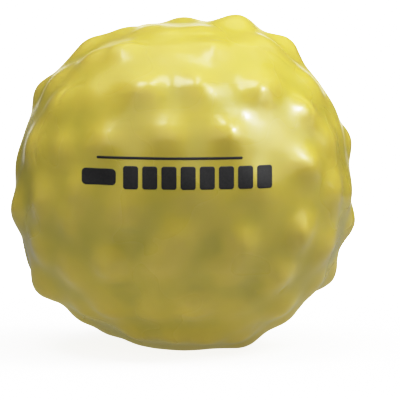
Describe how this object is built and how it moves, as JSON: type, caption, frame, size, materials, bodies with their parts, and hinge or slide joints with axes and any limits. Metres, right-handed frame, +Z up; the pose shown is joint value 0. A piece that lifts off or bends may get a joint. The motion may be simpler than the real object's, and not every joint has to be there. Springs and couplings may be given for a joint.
{
  "type": "medicine ball",
  "caption": "Soft weighted exercise ball with a lumpy one-piece vinyl skin, a loose sand fill and a plug valve at its back.",
  "frame": {"origin": "middle of the flat patch that the ball rests on, on the floor", "axes": "+Z up, -Y towards the printed side, +Y out of the valve"},
  "size_m": [0.1648, 0.1606, 0.1596],
  "materials": {
    "skin_vinyl": "gloss",
    "valve_vinyl": "satin",
    "plug_plastic": "satin",
    "core_rubber": "matte",
    "fill_sand": "matte",
    "print_ink": "satin"
  },
  "bodies": {
    "ball": {"skin": "skin_vinyl", "valve_seat": "valve_vinyl"},
    "plug": {"valve_plug": "plug_plastic", "valve_core": "core_rubber"},
    "fill": {"sand_fill": "fill_sand"}
  },
  "joints": [
    {"name": "plug_pull", "type": "slide", "parent": "ball", "child": "plug", "axis": [0, 1, 0], "range_m": [0, 0.025]},
    {"name": "fill_roll", "type": "hinge", "parent": "ball", "child": "fill", "pos_m": [0, 0, 0.0779], "axis": [0, 1, 0], "continuous": true}
  ]
}
